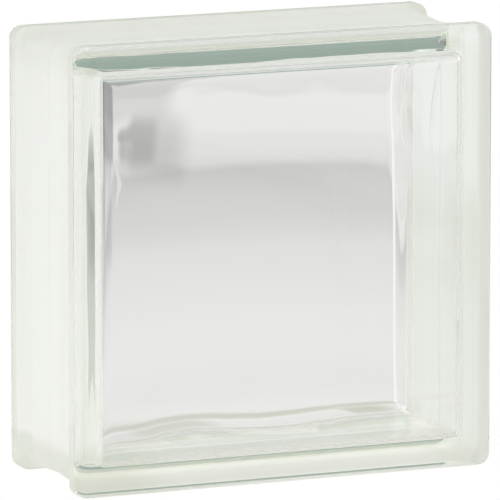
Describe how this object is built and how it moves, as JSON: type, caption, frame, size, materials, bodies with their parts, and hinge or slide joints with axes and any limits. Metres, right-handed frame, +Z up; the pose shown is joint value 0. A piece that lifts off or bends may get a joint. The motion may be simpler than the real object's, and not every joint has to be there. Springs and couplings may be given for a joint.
{
  "type": "glass block",
  "caption": "Hollow square block of clear pressed glass for walls: two dishes fused rim to rim, with lips at both faces and a white-coated mortar channel round the edge.",
  "frame": {"origin": "middle of the base, on the floor plane, midway between the two faces", "axes": "+Z up, +Y from the front face to the rear face (the short way), +X along the base"},
  "size_m": [0.19, 0.08, 0.19],
  "materials": {
    "front_glass": "clear, fire-polished",
    "rear_glass": "clear, fire-polished"
  },
  "bodies": {
    "root": {"front_half_shell": "front_glass", "rear_half_shell": "rear_glass"}
  },
  "joints": []
}
